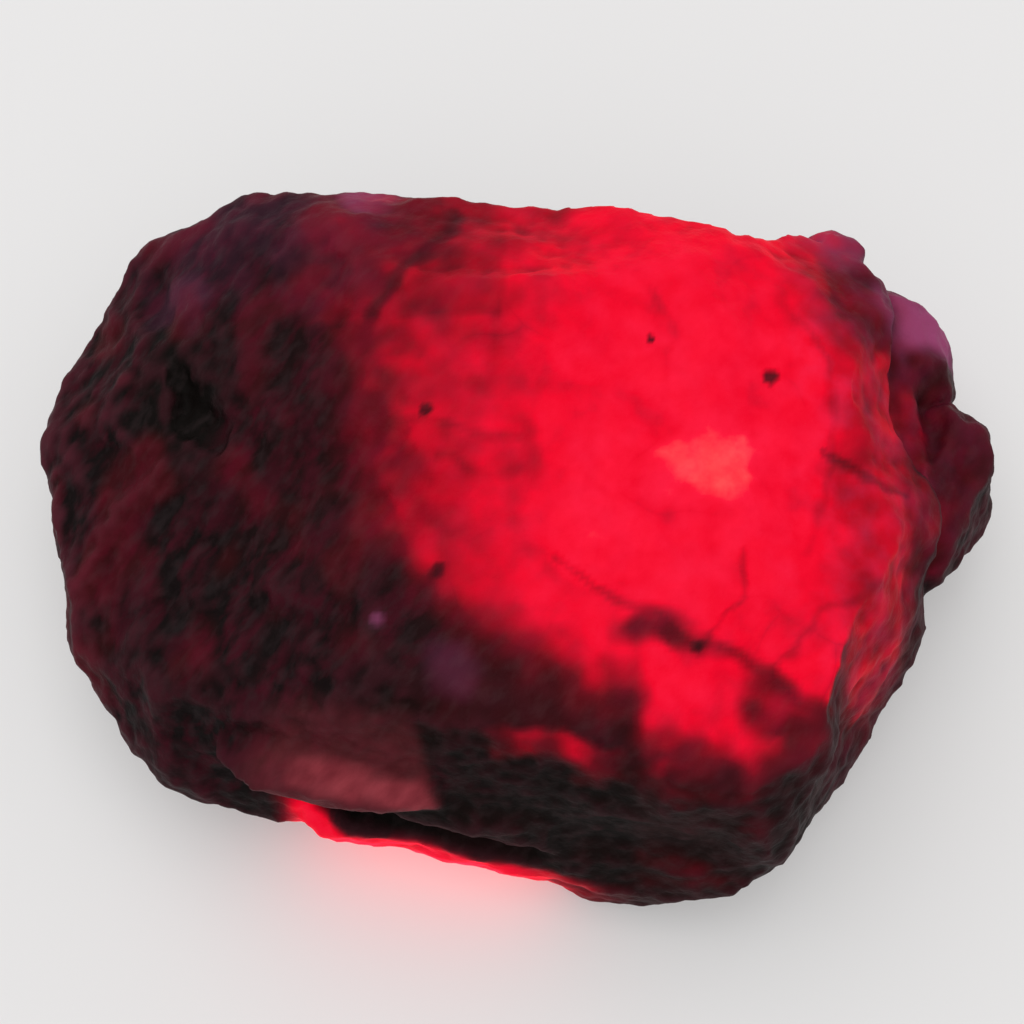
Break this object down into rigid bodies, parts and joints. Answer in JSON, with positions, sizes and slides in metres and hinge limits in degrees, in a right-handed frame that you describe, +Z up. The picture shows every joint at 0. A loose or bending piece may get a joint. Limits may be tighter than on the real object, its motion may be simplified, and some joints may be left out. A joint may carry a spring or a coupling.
{
  "type": "raw ruby crystal",
  "caption": "Rough red corundum crystal, broken and worn, with a clear glowing face, a dark ridged end and a flat base to rest on.",
  "frame": {"origin": "middle of the bounding box's underside, on the flat face that the stone rests on", "axes": "+Z up, +X along the stone's length towards the small crystals grown on its end, +Y from the steep stepped front to the back"},
  "size_m": [0.045, 0.033, 0.0166],
  "materials": {
    "ruby": "rough, translucent, lightly worn"
  },
  "bodies": {
    "root": {"ruby_crystal": "ruby"}
  },
  "joints": []
}
